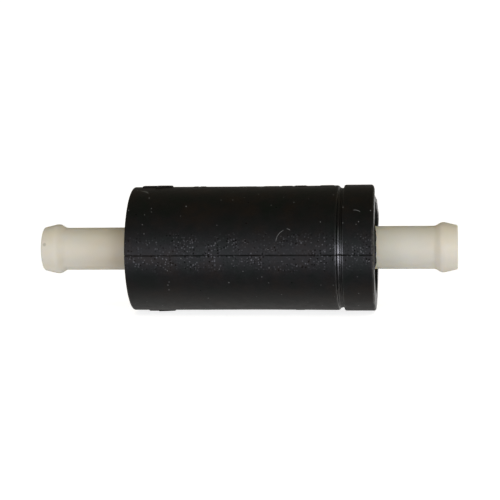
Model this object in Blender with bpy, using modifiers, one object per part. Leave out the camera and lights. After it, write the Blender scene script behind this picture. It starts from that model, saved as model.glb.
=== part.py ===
"""In-line fuel filter: a rubber jacket over a welded nylon capsule that holds a pleated paper element.

Units are metres and +Z is up. The filter lies on its side along X, with its origin in the middle of the
axis, and fuel flows towards +X. Turned pieces are made about their own Z axis, and the empty
"filter_axis" lays that axis along X.
"""

import math

import bmesh
import bpy

# ---------------------------------------------------------------- driving dimensions, in metres
SEGMENTS = 48  # flat sides on a full turn
NIPPLE_SEGMENTS = 40

CLEARANCE = 0.00025  # gap between pieces that meet
THIN_GAP = 0.0002  # the same, inside the element and at the spigots
SMALL_CHAMFER = 0.0002
PASS_THROUGH = 4  # a cutter that goes right through is this many radii long

# The nipples: 8 mm pipes with one barb each
TIP_X = 0.0390
PIPE_RADIUS = 0.0040
BORE_RADIUS = 0.0026
BARB_CREST_RADIUS = 0.00467
BARB_CREST_BACK = 0.0027  # from the tip back to the crest
BARB_FOOT_BACK = 0.00445  # from the tip back to where the barb starts to rise
TIP_RADIUS = 0.00417
TIP_ROUND = 0.0004
NIPPLE_FILLET = 0.0005

# The capsule: a tube with a cap welded on each end
CAPSULE_END_X = 0.0193
CAPSULE_RADIUS = 0.00915
CAPSULE_WALL = 0.0011
CAP_WALL = 0.0017
CAP_FLANGE_LENGTH = 0.0021
CAP_SPIGOT_LENGTH = 0.0016
CAP_SPIGOT_WALL = 0.00085
BOSS_RADIUS = 0.0030
BOSS_BORE_RADIUS = 0.0020
BOSS_LENGTH = 0.0046

# The jacket
JACKET_LEFT_X = -0.0216
JACKET_RIGHT_X = 0.0239
JACKET_RADIUS = 0.0116
COLLAR_RADIUS = 0.0117
JACKET_END_WALL = 0.0020
JACKET_ROUND_LEFT = 0.0003
JACKET_ROUND_RIGHT = 0.000375
NIPPLE_HOLE_RADIUS = 0.0043
CAVITY_RADIUS = 0.00945
LIP_RADIUS = 0.0087  # opening round the outlet nipple
GROOVE_LEFT_X = 0.0168
GROOVE_RIGHT_X = 0.0182
GROOVE_FLOOR_LEFT_X = 0.01735
GROOVE_FLOOR_RIGHT_X = 0.0178
GROOVE_FLOOR_RADIUS = 0.01113

# The raised flow arrows, one on top and one underneath: a bar that runs into a pointed head
ARROW_RADIUS = 0.01184
ARROW_START_X = -0.0200
ARROW_LENGTH = 0.0057
ARROW_BAR_WIDTH = 0.0013
ARROW_HEAD_LENGTH = 0.0030
ARROW_HEAD_WIDTH = 0.0034

# The filter element
ELEMENT_HALF_LENGTH = 0.0153
DISC_THICKNESS = 0.0008
DISC_RADIUS = 0.0076
DISC_RIM_WALL = 0.0004
DISC_RIM_HEIGHT = 0.0014
RIB_COUNT = 4
RIB_THICKNESS = 0.0009
RIB_INNER_RADIUS = 0.0012
RIB_OUTER_RADIUS = 0.0066
RIB_HEIGHT = 0.0020
BOND_THICKNESS = 0.0006
CORE_INNER_RADIUS = 0.0033
CORE_OUTER_RADIUS = 0.0041
WINDOW_ROWS = 6
WINDOW_LENGTH = 0.0026
WINDOW_WIDTH = 0.0026

PLEATS = 20
PAPER_THICKNESS = 0.0003
FOLD_OUTER_RADIUS = 0.0068
FOLD_INNER_RADIUS = 0.00465
FOLD_WIDTH = 0.0005  # width of the flat top of one fold
FLAP_RADIUS = 0.00665  # where the two ends of the paper strip stop
FLAP_SPACING = 0.0006  # between the middles of the two flaps

CLIP_THICKNESS = 0.0002
CLIP_HALF_WIDTH = 0.00088
CLIP_INNER_RADIUS = 0.0060
CLIP_OUTER_RADIUS = 0.0070

GROMMET_BORE_RADIUS = 0.00315
GROMMET_BODY_RADIUS = 0.00415
GROMMET_FLANGE_RADIUS = 0.0050
GROMMET_FLANGE_THICKNESS = 0.0006

# ---------------------------------------------------------------- lengths that follow from those
BOND_OUTER_FACE = ELEMENT_HALF_LENGTH - DISC_THICKNESS - THIN_GAP
PAPER_HALF_LENGTH = BOND_OUTER_FACE - BOND_THICKNESS - THIN_GAP
CAP_INNER_FACE = CAPSULE_END_X - CAP_WALL
CAP_FLANGE_FACE = CAPSULE_END_X - CAP_FLANGE_LENGTH
CAPSULE_BORE_RADIUS = CAPSULE_RADIUS - CAPSULE_WALL
CAP_SPIGOT_RADIUS = CAPSULE_BORE_RADIUS - THIN_GAP
DISC_HOLE_RADIUS = GROMMET_BODY_RADIUS + THIN_GAP
BOND_OUTER_RADIUS = DISC_RADIUS - DISC_RIM_WALL - THIN_GAP

SHARP_ANGLE = math.radians(35)
AXIS_MERGE = 0.00001


# ---------------------------------------------------------------- scene and materials
def clear_scene():
    for old in list(bpy.data.objects):
        bpy.data.objects.remove(old, do_unlink=True)


def new_collection(name):
    collection = bpy.data.collections.new(name)
    bpy.context.scene.collection.children.link(collection)
    return collection


def new_material(name, colour, roughness, metallic=0.0):
    material = bpy.data.materials.new(name)
    material.use_nodes = True
    shader = material.node_tree.nodes["Principled BSDF"]
    shader.inputs["Base Color"].default_value = (*colour, 1.0)
    shader.inputs["Roughness"].default_value = roughness
    shader.inputs["Metallic"].default_value = metallic
    material.diffuse_color = (*colour, 1.0)
    return material


# ---------------------------------------------------------------- profiles, as (radius, height) points
def arc(centre, radius, start_deg, end_deg, steps=3):
    """Points along an arc, with both ends."""
    points = []
    for step in range(steps + 1):
        angle = math.radians(start_deg + (end_deg - start_deg) * step / steps)
        points.append((centre[0] + radius * math.cos(angle), centre[1] + radius * math.sin(angle)))
    return points


def barb_flank(steps=5):
    """The smooth rise of the barb, from its crest down to the pipe."""
    points = []
    for step in range(steps + 1):
        travel = step / steps
        fall = travel * travel * (3 - 2 * travel)
        radius = BARB_CREST_RADIUS + (PIPE_RADIUS - BARB_CREST_RADIUS) * fall
        height = TIP_X - BARB_CREST_BACK - (BARB_FOOT_BACK - BARB_CREST_BACK) * travel
        points.append((radius, height))
    return points


def nipple_outside():
    """From the tip's flat ring, over the barb and down the pipe, to the cap's end wall."""
    points = arc((TIP_RADIUS - TIP_ROUND, TIP_X - TIP_ROUND), TIP_ROUND, 90, 0)
    points += barb_flank()
    points += arc((PIPE_RADIUS + NIPPLE_FILLET, CAPSULE_END_X + NIPPLE_FILLET), NIPPLE_FILLET, 180, 270)
    return points


def cap_profile(boss_length):
    """A cap with its nipple pointing up. A boss_length above zero adds the spigot for the grommet."""
    chamfer = SMALL_CHAMFER
    spigot_end = CAP_FLANGE_FACE - CAP_SPIGOT_LENGTH
    spigot_bore = CAP_SPIGOT_RADIUS - CAP_SPIGOT_WALL
    points = nipple_outside()
    points += [(CAPSULE_RADIUS - chamfer, CAPSULE_END_X), (CAPSULE_RADIUS, CAPSULE_END_X - chamfer)]
    points += [(CAPSULE_RADIUS, CAP_FLANGE_FACE), (CAP_SPIGOT_RADIUS, CAP_FLANGE_FACE)]
    points += [(CAP_SPIGOT_RADIUS, spigot_end), (spigot_bore, spigot_end), (spigot_bore, CAP_INNER_FACE)]
    if boss_length > 0:
        boss_end = CAP_INNER_FACE - boss_length
        points += [(BOSS_RADIUS, CAP_INNER_FACE), (BOSS_RADIUS, boss_end)]
        points += [(BOSS_BORE_RADIUS, boss_end), (BOSS_BORE_RADIUS, CAP_INNER_FACE)]
        points += [(BORE_RADIUS, CAP_INNER_FACE + BORE_RADIUS - BOSS_BORE_RADIUS)]
    else:
        points += [(BORE_RADIUS, CAP_INNER_FACE)]
    points += [(BORE_RADIUS, TIP_X - chamfer), (BORE_RADIUS + chamfer, TIP_X)]
    return points


def groove_outline():
    """The groove that parts the collar from the body, steeper on the collar's side."""
    return [
        (COLLAR_RADIUS, GROOVE_RIGHT_X),
        (GROOVE_FLOOR_RADIUS, GROOVE_FLOOR_RIGHT_X),
        (GROOVE_FLOOR_RADIUS, GROOVE_FLOOR_LEFT_X),
        (JACKET_RADIUS, GROOVE_LEFT_X),
    ]


def jacket_profile():
    """The jacket with its outlet end up."""
    right = JACKET_ROUND_RIGHT
    left = JACKET_ROUND_LEFT
    cavity_left = JACKET_LEFT_X + JACKET_END_WALL
    cavity_right = CAPSULE_END_X + CLEARANCE
    points = arc((COLLAR_RADIUS - right, JACKET_RIGHT_X - right), right, 90, 0)
    points += groove_outline()
    points += arc((JACKET_RADIUS - left, JACKET_LEFT_X + left), left, 0, -90)
    points += [(NIPPLE_HOLE_RADIUS, JACKET_LEFT_X), (NIPPLE_HOLE_RADIUS, cavity_left)]
    points += [(CAVITY_RADIUS, cavity_left), (CAVITY_RADIUS, cavity_right), (LIP_RADIUS, cavity_right)]
    points += [(LIP_RADIUS, JACKET_RIGHT_X - SMALL_CHAMFER), (LIP_RADIUS + SMALL_CHAMFER, JACKET_RIGHT_X)]
    return points


def ring_profile(inner, outer, bottom, top):
    return [(outer, top), (outer, bottom), (inner, bottom), (inner, top)]


def closed_disc_profile():
    """A shallow dish that opens downwards, so its closed side is up."""
    top = ELEMENT_HALF_LENGTH
    floor = top - DISC_THICKNESS
    lip = floor - DISC_RIM_HEIGHT
    rim_bore = DISC_RADIUS - DISC_RIM_WALL
    chamfer = SMALL_CHAMFER
    points = [(0.0, top), (DISC_RADIUS - chamfer, top), (DISC_RADIUS, top - chamfer)]
    points += [(DISC_RADIUS, lip), (rim_bore, lip), (rim_bore, floor), (0.0, floor)]
    return points


def open_disc_profile():
    """The same dish with a hole for the grommet."""
    points = closed_disc_profile()
    points[0] = (DISC_HOLE_RADIUS, points[0][1])
    points[-1] = (DISC_HOLE_RADIUS, points[-1][1])
    return points


def grommet_profile():
    """A short sleeve in the open disc's hole, with a flange on the outlet side."""
    flange_bottom = ELEMENT_HALF_LENGTH + THIN_GAP
    flange_top = flange_bottom + GROMMET_FLANGE_THICKNESS
    body_bottom = PAPER_HALF_LENGTH + CLEARANCE
    return [
        (GROMMET_FLANGE_RADIUS, flange_top),
        (GROMMET_FLANGE_RADIUS, flange_bottom),
        (GROMMET_BODY_RADIUS, flange_bottom),
        (GROMMET_BODY_RADIUS, body_bottom),
        (GROMMET_BORE_RADIUS, body_bottom),
        (GROMMET_BORE_RADIUS, flange_top),
    ]


# ---------------------------------------------------------------- ways of making an object
def add_object(name, data, collection, material=None, parent=None):
    obj = bpy.data.objects.new(name, data)
    collection.objects.link(obj)
    obj.parent = parent
    if material:
        data.materials.append(material)
    return obj


def turned(name, profile, collection, parent, material=None, segments=SEGMENTS):
    """A profile turned about Z. It starts half a side round, so that flat sides face up and down."""
    half_side = math.pi / segments
    ends_on_axis = profile[0][0] == 0
    bm = bmesh.new()
    verts = []
    for radius, height in profile:
        verts.append(bm.verts.new((radius * math.cos(half_side), radius * math.sin(half_side), height)))
    for first, second in zip(verts, verts[1:]):
        bm.edges.new((first, second))
    if not ends_on_axis:
        bm.edges.new((verts[-1], verts[0]))
    mesh = bpy.data.meshes.new(name)
    bm.to_mesh(mesh)
    bm.free()
    obj = add_object(name, mesh, collection, material, parent)
    screw = obj.modifiers.new("Turn", "SCREW")
    screw.axis = "Z"
    screw.steps = segments
    screw.render_steps = segments
    screw.use_merge_vertices = ends_on_axis
    screw.merge_threshold = AXIS_MERGE
    return obj


def flat_shape(name, outline, thickness, collection, parent, material=None):
    """A flat outline in the object's own XY plane, extruded to both sides of it and made a mesh."""
    curve = bpy.data.curves.new(name, "CURVE")
    curve.dimensions = "2D"
    curve.fill_mode = "BOTH"
    curve.extrude = thickness / 2
    spline = curve.splines.new("POLY")
    spline.points.add(len(outline) - 1)
    for point, (x, y) in zip(spline.points, outline):
        point.co = (x, y, 0, 1)
    spline.use_cyclic_u = True
    guide = add_object(name + "_outline", curve, collection, None, parent)
    bpy.context.view_layer.update()
    evaluated = guide.evaluated_get(bpy.context.evaluated_depsgraph_get())
    mesh = bpy.data.meshes.new_from_object(evaluated)
    mesh.name = name
    bm = bmesh.new()
    bm.from_mesh(mesh)
    bmesh.ops.remove_doubles(bm, verts=bm.verts, dist=AXIS_MERGE)
    bm.to_mesh(mesh)
    bm.free()
    obj = add_object(name, mesh, collection, material, parent)
    obj.matrix_world = guide.matrix_world
    bpy.data.objects.remove(guide, do_unlink=True)
    return obj


def box_row(name, size, centres, angle, collection, parent):
    """Equal boxes at the given centres, turned about Z, in one cutter object."""
    bm = bmesh.new()
    for centre in centres:
        box = bmesh.ops.create_cube(bm, size=1.0)["verts"]
        bmesh.ops.scale(bm, verts=box, vec=size)
        bmesh.ops.translate(bm, verts=box, vec=centre)
    mesh = bpy.data.meshes.new(name)
    bm.to_mesh(mesh)
    bm.free()
    obj = add_object(name, mesh, collection, None, parent)
    obj.rotation_euler = (0, 0, angle)
    return obj


def as_cutter(obj):
    obj.hide_render = True
    obj.display_type = "WIRE"
    return obj


def combine(target, tool, operation):
    boolean = target.modifiers.new(operation.title() + " " + tool.name, "BOOLEAN")
    boolean.operation = operation
    boolean.solver = "EXACT"
    boolean.object = as_cutter(tool)


def apply_and_shade(obj):
    """Gives the object its finished mesh, smooth with sharp edges kept."""
    bpy.context.view_layer.update()
    evaluated = obj.evaluated_get(bpy.context.evaluated_depsgraph_get())
    finished = bpy.data.meshes.new_from_object(evaluated)
    obj.modifiers.clear()
    obj.data = finished
    finished.name = obj.name
    finished.shade_smooth()
    finished.set_sharp_from_angle(angle=SHARP_ANGLE)


# ---------------------------------------------------------------- the pieces
def arrow_outline():
    """A flow arrow towards +X, seen from above."""
    start = ARROW_START_X
    tip = start + ARROW_LENGTH
    neck = tip - ARROW_HEAD_LENGTH
    bar = ARROW_BAR_WIDTH / 2
    head = ARROW_HEAD_WIDTH / 2
    return [(start, -bar), (neck, -bar), (neck, -head), (tip, 0), (neck, head), (neck, bar), (start, bar)]


def make_flow_arrows(cutters, axis):
    """Two arrows that stand up from the jacket, cut out of a thin turned band."""
    root = JACKET_RADIUS - CLEARANCE
    tip = ARROW_START_X + ARROW_LENGTH
    band = ring_profile(root, ARROW_RADIUS, ARROW_START_X - CLEARANCE, tip + CLEARANCE)
    arrows = turned("flow_arrow_band", band, cutters, axis)
    stamp = flat_shape("flow_arrow_stamp", arrow_outline(), PASS_THROUGH * JACKET_RADIUS, cutters, None)
    combine(arrows, stamp, "INTERSECT")
    return arrows


def make_jacket(parts, cutters, axis, rubber):
    jacket = turned("rubber_jacket", jacket_profile(), parts, axis, rubber)
    combine(jacket, make_flow_arrows(cutters, axis), "UNION")
    return jacket


def make_capsule(parts, axis, nylon):
    inlet = turned("inlet_cap", cap_profile(0), parts, axis, nylon, NIPPLE_SEGMENTS)
    inlet.rotation_euler = (math.pi, 0, 0)
    outlet = turned("outlet_cap", cap_profile(BOSS_LENGTH), parts, axis, nylon, NIPPLE_SEGMENTS)
    half_length = CAP_FLANGE_FACE - CLEARANCE
    wall = ring_profile(CAPSULE_BORE_RADIUS, CAPSULE_RADIUS, -half_length, half_length)
    tube = turned("capsule_tube", wall, parts, axis, nylon)
    return [inlet, outlet, tube]


def make_ribs(cutters, axis):
    """Two pairs of ribs that stand on the closed disc and leave the middle open for the fuel."""
    length = RIB_OUTER_RADIUS - RIB_INNER_RADIUS
    middle = (RIB_OUTER_RADIUS + RIB_INNER_RADIUS) / 2
    overlap = DISC_THICKNESS / 2
    height = RIB_HEIGHT + overlap
    level = ELEMENT_HALF_LENGTH - overlap + height / 2
    pairs = []
    for turn in range(RIB_COUNT // 2):
        name = "rib_pair_" + str(turn + 1)
        centres = [(middle, 0, level), (-middle, 0, level)]
        size = (length, RIB_THICKNESS, height)
        pairs.append(box_row(name, size, centres, turn * math.pi / 2 + math.pi / 4, cutters, axis))
    for pair in pairs:
        pair.rotation_euler.x = math.pi
    return pairs


def make_end_discs(parts, cutters, axis, nylon, adhesive):
    closed = turned("inlet_end_disc", closed_disc_profile(), parts, axis, nylon)
    closed.rotation_euler = (math.pi, 0, 0)
    for pair in make_ribs(cutters, axis):
        combine(closed, pair, "UNION")
    opened = turned("outlet_end_disc", open_disc_profile(), parts, axis, nylon)
    bond_bottom = BOND_OUTER_FACE - BOND_THICKNESS
    closed_bond = ring_profile(CORE_INNER_RADIUS, BOND_OUTER_RADIUS, bond_bottom, BOND_OUTER_FACE)
    inlet_bond = turned("inlet_bond_layer", closed_bond, parts, axis, adhesive)
    inlet_bond.rotation_euler = (math.pi, 0, 0)
    open_bond = ring_profile(DISC_HOLE_RADIUS, BOND_OUTER_RADIUS, bond_bottom, BOND_OUTER_FACE)
    outlet_bond = turned("outlet_bond_layer", open_bond, parts, axis, adhesive)
    return [closed, opened, inlet_bond, outlet_bond]


def make_centre_tube(parts, cutters, axis, nylon):
    wall = ring_profile(CORE_INNER_RADIUS, CORE_OUTER_RADIUS, -PAPER_HALF_LENGTH, PAPER_HALF_LENGTH)
    tube = turned("centre_tube", wall, parts, axis, nylon, NIPPLE_SEGMENTS)
    pitch = 2 * PAPER_HALF_LENGTH / WINDOW_ROWS
    centres = [(0, 0, (row - (WINDOW_ROWS - 1) / 2) * pitch) for row in range(WINDOW_ROWS)]
    size = (PASS_THROUGH * CORE_OUTER_RADIUS, WINDOW_WIDTH, WINDOW_LENGTH)
    for name, angle in (("window_row_level", 0), ("window_row_upright", math.pi / 2)):
        combine(tube, box_row(name, size, centres, angle, cutters, axis), "DIFFERENCE")
    return tube


def polar(radius, angle, shift=0.0):
    """A point at this radius and angle, moved sideways by shift."""
    x = radius * math.cos(angle) - shift * math.sin(angle)
    y = radius * math.sin(angle) + shift * math.cos(angle)
    return (x, y)


def pleat_line():
    """The paper's middle line. Its two ends stand side by side as flaps where the last fold would be."""
    pitch = 2 * math.pi / PLEATS
    half_fold = FOLD_WIDTH / 2
    points = [polar(FLAP_RADIUS, 0, FLAP_SPACING / 2)]
    for pleat in range(PLEATS):
        valley = (pleat + 0.5) * pitch
        points += [polar(FOLD_INNER_RADIUS, valley, side * half_fold) for side in (-1, 1)]
        if pleat < PLEATS - 1:
            crest = (pleat + 1) * pitch
            points += [polar(FOLD_OUTER_RADIUS, crest, side * half_fold) for side in (-1, 1)]
    points.append(polar(FLAP_RADIUS, 0, -FLAP_SPACING / 2))
    return points


def make_paper(parts, axis, paper):
    """The folded strip: an open sheet along the pleat line, thickened."""
    bm = bmesh.new()
    lower = [bm.verts.new((x, y, -PAPER_HALF_LENGTH)) for x, y in pleat_line()]
    upper = [bm.verts.new((x, y, PAPER_HALF_LENGTH)) for x, y in pleat_line()]
    for index in range(len(lower) - 1):
        bm.faces.new((lower[index], lower[index + 1], upper[index + 1], upper[index]))
    mesh = bpy.data.meshes.new("pleated_paper")
    bm.to_mesh(mesh)
    bm.free()
    obj = add_object("pleated_paper", mesh, parts, paper, axis)
    sheet = obj.modifiers.new("Paper thickness", "SOLIDIFY")
    sheet.thickness = PAPER_THICKNESS
    sheet.offset = 0
    sheet.use_even_offset = True
    return obj


def make_clip(parts, axis, steel):
    """A folded strip over the two flaps, with its open side towards the axis."""
    wide = CLIP_HALF_WIDTH
    narrow = wide - CLIP_THICKNESS
    low = CLIP_INNER_RADIUS
    high = CLIP_OUTER_RADIUS
    roof = high - CLIP_THICKNESS
    points = [(low, -wide), (high, -wide), (high, wide), (low, wide)]
    points += [(low, narrow), (roof, narrow), (roof, -narrow), (low, -narrow)]
    return flat_shape("seam_clip", points, 2 * PAPER_HALF_LENGTH, parts, axis, steel)


def main():
    clear_scene()
    parts = new_collection("fuel_filter")
    cutters = new_collection("cutters")
    rubber = new_material("black_rubber", (0.012, 0.012, 0.013), 0.5)
    nylon = new_material("natural_nylon", (0.66, 0.61, 0.50), 0.42)
    paper = new_material("filter_paper", (0.60, 0.43, 0.20), 0.85)
    adhesive = new_material("cream_adhesive", (0.72, 0.66, 0.50), 0.6)
    seal = new_material("seal_rubber", (0.020, 0.020, 0.022), 0.55)
    steel = new_material("plated_steel", (0.62, 0.62, 0.60), 0.35, 1.0)

    axis = bpy.data.objects.new("filter_axis", None)
    parts.objects.link(axis)
    axis.rotation_euler = (0, math.pi / 2, 0)
    bpy.context.view_layer.update()

    pieces = [make_jacket(parts, cutters, axis, rubber)]
    pieces += make_capsule(parts, axis, nylon)
    pieces += make_end_discs(parts, cutters, axis, nylon, adhesive)
    pieces.append(make_centre_tube(parts, cutters, axis, nylon))
    pieces.append(make_paper(parts, axis, paper))
    pieces.append(make_clip(parts, axis, steel))
    pieces.append(turned("outlet_grommet", grommet_profile(), parts, axis, seal, NIPPLE_SEGMENTS))
    for piece in pieces:
        apply_and_shade(piece)


main()
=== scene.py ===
"""Looks for the fuel filter: fine meshes for what shows, procedural materials, a pale floor and soft light.

Everything is in metres, in the row frame: the filter's axis is X, fuel flows to +X, and the jacket's
mould seam faces -Y. Lengths that the frame doesn't give are named below, as the CAD has them.
"""

import math

import bpy
import numpy as np
from mathutils import Matrix, Vector, noise


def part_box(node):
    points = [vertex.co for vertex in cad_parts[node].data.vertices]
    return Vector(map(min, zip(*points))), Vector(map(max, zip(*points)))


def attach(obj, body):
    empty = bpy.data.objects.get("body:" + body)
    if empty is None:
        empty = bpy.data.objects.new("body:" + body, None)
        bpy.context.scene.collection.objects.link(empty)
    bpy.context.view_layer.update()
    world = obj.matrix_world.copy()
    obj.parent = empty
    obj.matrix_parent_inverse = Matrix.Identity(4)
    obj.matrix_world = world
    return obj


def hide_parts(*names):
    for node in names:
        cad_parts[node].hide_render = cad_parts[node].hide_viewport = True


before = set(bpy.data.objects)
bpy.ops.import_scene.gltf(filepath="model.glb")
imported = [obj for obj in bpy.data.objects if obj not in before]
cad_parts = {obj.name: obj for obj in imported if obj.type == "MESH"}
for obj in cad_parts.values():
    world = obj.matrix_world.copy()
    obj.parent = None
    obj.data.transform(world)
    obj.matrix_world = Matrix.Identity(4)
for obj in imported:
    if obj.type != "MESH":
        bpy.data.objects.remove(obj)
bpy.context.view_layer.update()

MM = 0.001

# ---------------------------------------------------------------- places, read from the frame
JACKET_LOW, JACKET_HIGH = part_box("rubber_jacket")
OUTLET_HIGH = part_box("outlet_cap")[1]
LEFT_X = JACKET_LOW.x
RIGHT_X = JACKET_HIGH.x
FLOOR_Z = JACKET_LOW.z - 0.1 * MM

# ---------------------------------------------------------------- the jacket, as the CAD has it
BODY_R = 11.6 * MM
COLLAR_R = 11.7 * MM
# the groove's corners, as (x, r), from the collar to the body
GROOVE = (
    (18.38 * MM, COLLAR_R),
    (18.18 * MM, 11.65 * MM),
    (18.05 * MM, 11.18 * MM),
    (17.84 * MM, 11.13 * MM),
    (17.74 * MM, 11.04 * MM),
    (17.64 * MM, 11.12 * MM),
    (17.28 * MM, 11.23 * MM),
    (17.13 * MM, 11.52 * MM),
    (16.82 * MM, BODY_R),
)
GROOVE_FLOOR_R = 11.04 * MM
END_WALL = 2.0 * MM
HOLE_R = 4.3 * MM
CAVITY_R = 9.45 * MM
CAVITY_RIGHT = 19.55 * MM
LIP_R = 8.7 * MM
ROUND_LEFT = 0.3 * MM
ROUND_RIGHT = 0.42 * MM
FLASH_FOOT = 0.2 * MM  # the lip's moulding flash is this wide
FLASH_REACH = 0.35 * MM
FLASH_MEAN = 0.02 * MM  # outside those angles it reaches about this far
FLASH_UNEVEN = 0.08 * MM
FLASH_ANGLES = (50, 70, 100, 112)  # it starts, is whole from and to, and ends; 0 is up and 90 in front
# the moulding isn't quite square: its left end leans by these shares of the height, above and below the axis
SKEW_ABOVE = 0.004
SKEW_BELOW = 0.010
SKEW_REACH = 4 * MM
# and its right end leans back to the left by these
LEAN_UPPER = 0.05 * MM
LEAN_BEHIND = 0.12 * MM
LEAN_TOP_BEHIND = 0.38 * MM
LEAN_SHOULDER = -0.16 * MM
LEAN_REACH = 4 * MM

# the flow marks: a bar that runs into a blunt arrow head
MARK_HEIGHT = 0.24 * MM
MARK_HEAD_HEIGHT = 0.27 * MM
MARK_EDGE = 0.14 * MM  # the width over which a mark's side rises
TOP_BAR_START = LEFT_X + 1.80 * MM
BOTTOM_BAR_START = LEFT_X + 2.55 * MM
MARK_BAR_HALF = 0.65 * MM
MARK_HEAD = (LEFT_X + 4.50 * MM, LEFT_X + 7.50 * MM)
MARK_HEAD_HALF = 1.7 * MM
MARK_POINT_HALF = 0.35 * MM

# low moulded bars in line with the marks: start, end and height, along the top and along the bottom
TOP_BARS = (
    (-10.2, -9.3, 0.06),
    (-9.0, -7.9, 0.07),
    (-1.6, 1.6, 0.03),
    (3.1, 5.9, 0.05),
    (6.3, 8.4, 0.07),
    (8.8, 11.0, 0.09),
    (13.6, 16.1, 0.07),
)
BOTTOM_BARS = (
    (-12.2, -11.0, 0.05),
    (-9.4, -7.0, 0.06),
    (-6.6, -5.6, 0.05),
    (-4.4, -2.8, 0.05),
    (-1.2, 0.0, 0.06),
    (8.7, 10.5, 0.10),
    (12.2, 14.8, 0.04),
)
BAR_HALF = 0.9 * MM

SEAM_HALF = 0.11 * MM
SEAM_DEPTH = 0.10 * MM
SEAM_WANDER = 0.05 * MM
SLOW_UNEVEN = (0.012 * MM, 7 * MM)  # the skin's unevenness: height and size
QUICK_UNEVEN = (0.004 * MM, 1.6 * MM)
WAIST = (0.05 * MM, 1.5 * MM, 9 * MM)  # the body is slimmer by this, here, over this length
SWELL = (0.03 * MM, 10 * MM, 16 * MM)  # and thicker by this, from here to here and on

# Wear on the jacket, in mm on its unrolled skin: along the axis, and round it upwards from the front seam.
# scuffs: from, to, how far they bow, and their half width
SCUFFS = (
    ((-19.9, 15.2), (-18.0, 13.8), 0.12, 0.10),
    ((-19.2, 15.2), (-18.1, 14.2), 0.05, 0.08),
    ((6.3, 2.4), (7.8, 4.7), 0.40, 0.06),
    ((8.2, 4.9), (8.9, 4.6), 0.05, 0.07),
    ((20.1, 8.5), (21.5, 8.1), 0.18, 0.08),
)
# single pale specks: where, and their radius
SPECKS = (
    ((-21.1, 8.9), 0.15),
    ((-17.7, 12.2), 0.17),
    ((-16.9, 9.3), 0.13),
    ((-16.8, 8.5), 0.11),
    ((-10.5, 9.8), 0.17),
    ((-13.8, -5.8), 0.13),
    ((-2.5, -5.3), 0.13),
    ((3.6, -4.1), 0.12),
    ((18.3, 9.2), 0.14),
    ((18.4, 5.9), 0.12),
    ((21.2, 6.1), 0.13),
    ((23.3, 8.4), 0.15),
)
# single pits, painted dark by a black specular tint: painted shade
PITS = (
    ((-19.6, 7.9), 0.20),
    ((-7.9, -7.1), 0.15),
    ((0.8, 6.0), 0.18),
    ((0.9, 10.7), 0.18),
    ((6.1, 9.4), 0.16),
    ((9.0, -5.3), 0.18),
)

# the rubber's look: blotches by noise, then the colours of dust specks (partly painted glints), of a painted
# highlight on the lip, and of scuffs
RUBBER_BLOTCHES = (
    (0.36, (0.0032, 0.0052, 0.0038)),
    (0.50, (0.0054, 0.0052, 0.0048)),
    (0.64, (0.0088, 0.0062, 0.0044)),
)
DUST_AND_GLINT_COLOUR = (0.095, 0.097, 0.100)
LIP_HIGHLIGHT_COLOUR = (0.052, 0.050, 0.044)
WORN_COLOUR = (0.150, 0.152, 0.145)
DUST_AND_GLINT_MIDDLE = 0.4 * MM  # the middle of the dust specks and painted glints is this far above the seam
# specks: spacing, radius, and the share of places that hold one; the two sets of dust specks are partly
# painted glints
DUST_AND_GLINT_SPECKS = ((0.50 * MM, 0.17 * MM, 0.45), (0.83 * MM, 0.21 * MM, 0.40))
LONE_SPECKS = (2.3 * MM, 0.13 * MM, 0.25)
PIT_SPECKS = (0.55 * MM, 0.21 * MM, 0.40)
PIT_DEPTH = 0.050 * MM
GRAIN_DEPTH = 0.020 * MM
RUBBER_ROUGHNESS = (0.40, 0.48)
DULL_ROUGHER = 0.4  # pits and the flash are rougher by this
POLISHED_SMOOTHER = 0.15  # the groove near the seam is smoother by this
COAT_ROUGHNESS = 0.16
RUBBER_SPECULAR = 0.25

# ---------------------------------------------------------------- the caps, as the CAD has them
TIP_X = OUTLET_HIGH.x
PIPE_R = 4.0 * MM
BORE_R = 2.6 * MM
CREST_R = 4.67 * MM
CREST_BACK = 2.7 * MM
CREST_AHEAD = 0.2 * MM  # the crest's flat reaches this far before and behind its middle
CREST_BEHIND = 0.15 * MM
CREST_ROUND = 0.9 * MM
FLANK_STEPS = 14
FOOT_BACK = 4.45 * MM
TIP_R = 4.17 * MM
TIP_ROUND = 0.4 * MM
FILLET = 0.5 * MM
CAPSULE_END = 19.3 * MM
CAPSULE_R = 9.15 * MM
FLANGE_END = 17.2 * MM
INNER_FACE = 17.6 * MM
SPIGOT_END = 15.6 * MM
SPIGOT_R = 7.85 * MM
SPIGOT_BORE = 7.0 * MM
BOSS_R = 3.0 * MM
BOSS_BORE = 2.0 * MM
BOSS_END = 13.0 * MM

# the nylon's look: clouds by noise, then painted shade near the jacket on the inlet and painted light near
# the recess on the outlet, each from none to whole along the axis, and a stain
NYLON_CLOUDS = ((0.3, (0.735, 0.685, 0.55)), (0.7, (0.765, 0.725, 0.62)))
PAINTED_SHADE_NYLON = (0.66, 0.585, 0.44)
PAINTED_SHADE_ALONG = (-37 * MM, -20 * MM)
PAINTED_LIGHT_NYLON = (0.91, 0.84, 0.67)
PAINTED_LIGHT_ALONG = (32 * MM, 22 * MM)
STAIN = (-38.2 * MM, -4.1 * MM, 1.3 * MM)  # on the inlet nipple's tip
STAIN_COLOUR = (0.40, 0.39, 0.30)

# ---------------------------------------------------------------- camera
CAMERA_AZIMUTH = math.radians(6.9)
CAMERA_ELEVATION = math.radians(6.8)
CAMERA_ROLL = math.radians(1.05)
CAMERA_DISTANCE = 0.319
CAMERA_LENS = 122.4
CAMERA_SENSOR = 36.0
AIM_RIGHT = 0.22 * MM  # from the origin to the middle of the picture, along the picture
AIM_DOWN = 0.37 * MM


# ---------------------------------------------------------------- floor and light
FLOOR_SIZE = 8.0
FLOOR_GLOW = 0.80  # so that the floor renders white without lighting the filter
BACKGROUND_GLOW = 1.1
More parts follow.
